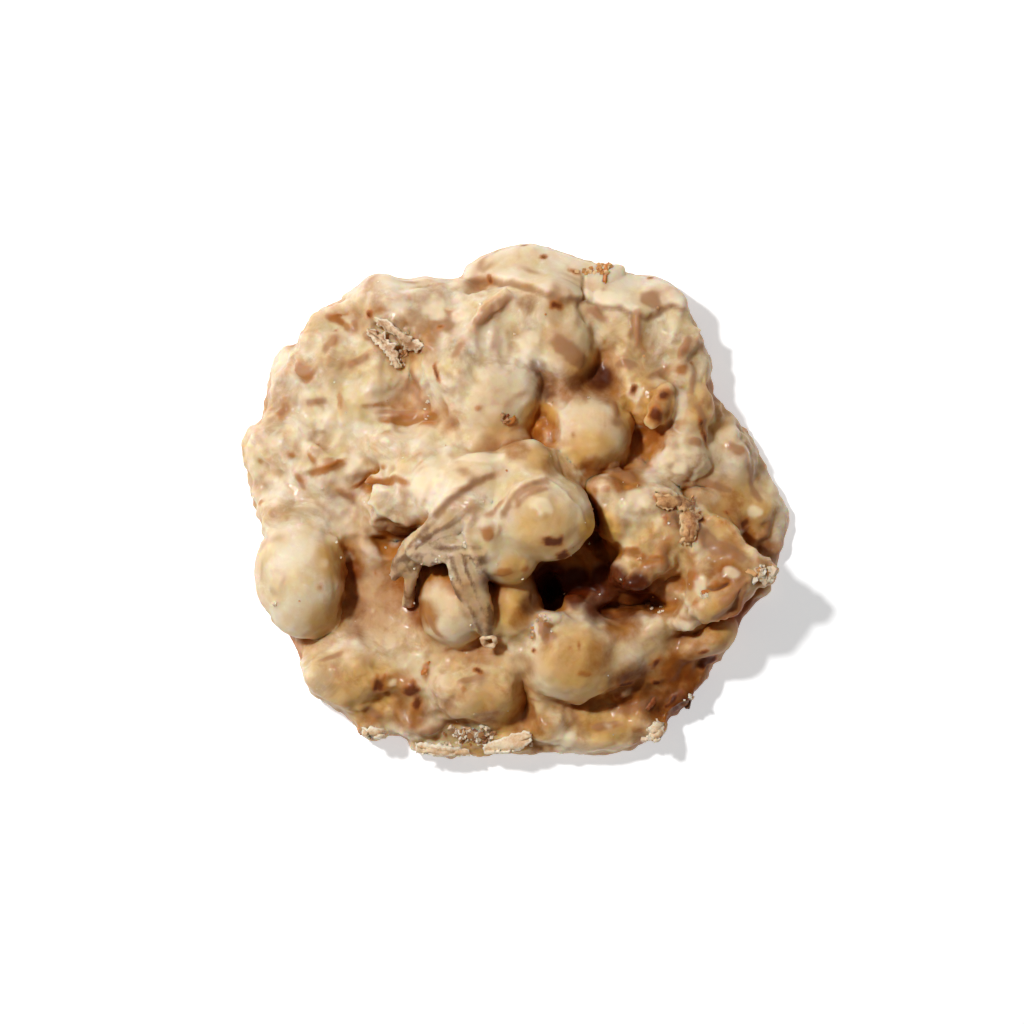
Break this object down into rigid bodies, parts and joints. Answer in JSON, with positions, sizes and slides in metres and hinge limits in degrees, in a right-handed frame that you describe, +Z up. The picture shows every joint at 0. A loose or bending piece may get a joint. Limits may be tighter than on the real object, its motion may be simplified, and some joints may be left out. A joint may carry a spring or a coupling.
{
  "type": "macadamia praline",
  "caption": "Craggy round patty of blond chocolate that binds whole macadamia nuts and toasted flakes, with a raised nut near the middle and a forked curl of coated flake.",
  "frame": {"origin": "centre of the footprint's box on the surface that the praline lies on, z = 0", "axes": "+Z up through the thickness, +X along the widest side of the patty, +Y towards the back, which is up in the picture"},
  "size_m": [0.0924, 0.0874, 0.0259],
  "materials": {
    "chocolate": "blond chocolate coat, satin, ivory to tan, over toasted flakes and wafer bits that show as mauve, amber and brown marks",
    "coated_nut": "thin translucent coat of blond chocolate over a whole macadamia nut, satin, ivory with honey tones",
    "coated_flake": "thinly coated toasted flake, grey brown with pale edges"
  },
  "bodies": {
    "root": {"chocolate_body": "chocolate", "nut_left": "coated_nut", "nut_back_left": "coated_nut", "nut_back": "coated_nut", "nut_back_right": "coated_nut", "nut_middle_left": "coated_nut", "nut_crown": "coated_nut", "nut_low_left": "coated_nut", "nut_low_right": "coated_nut", "nut_front": "coated_nut", "forked_curl": "coated_flake"}
  },
  "joints": []
}
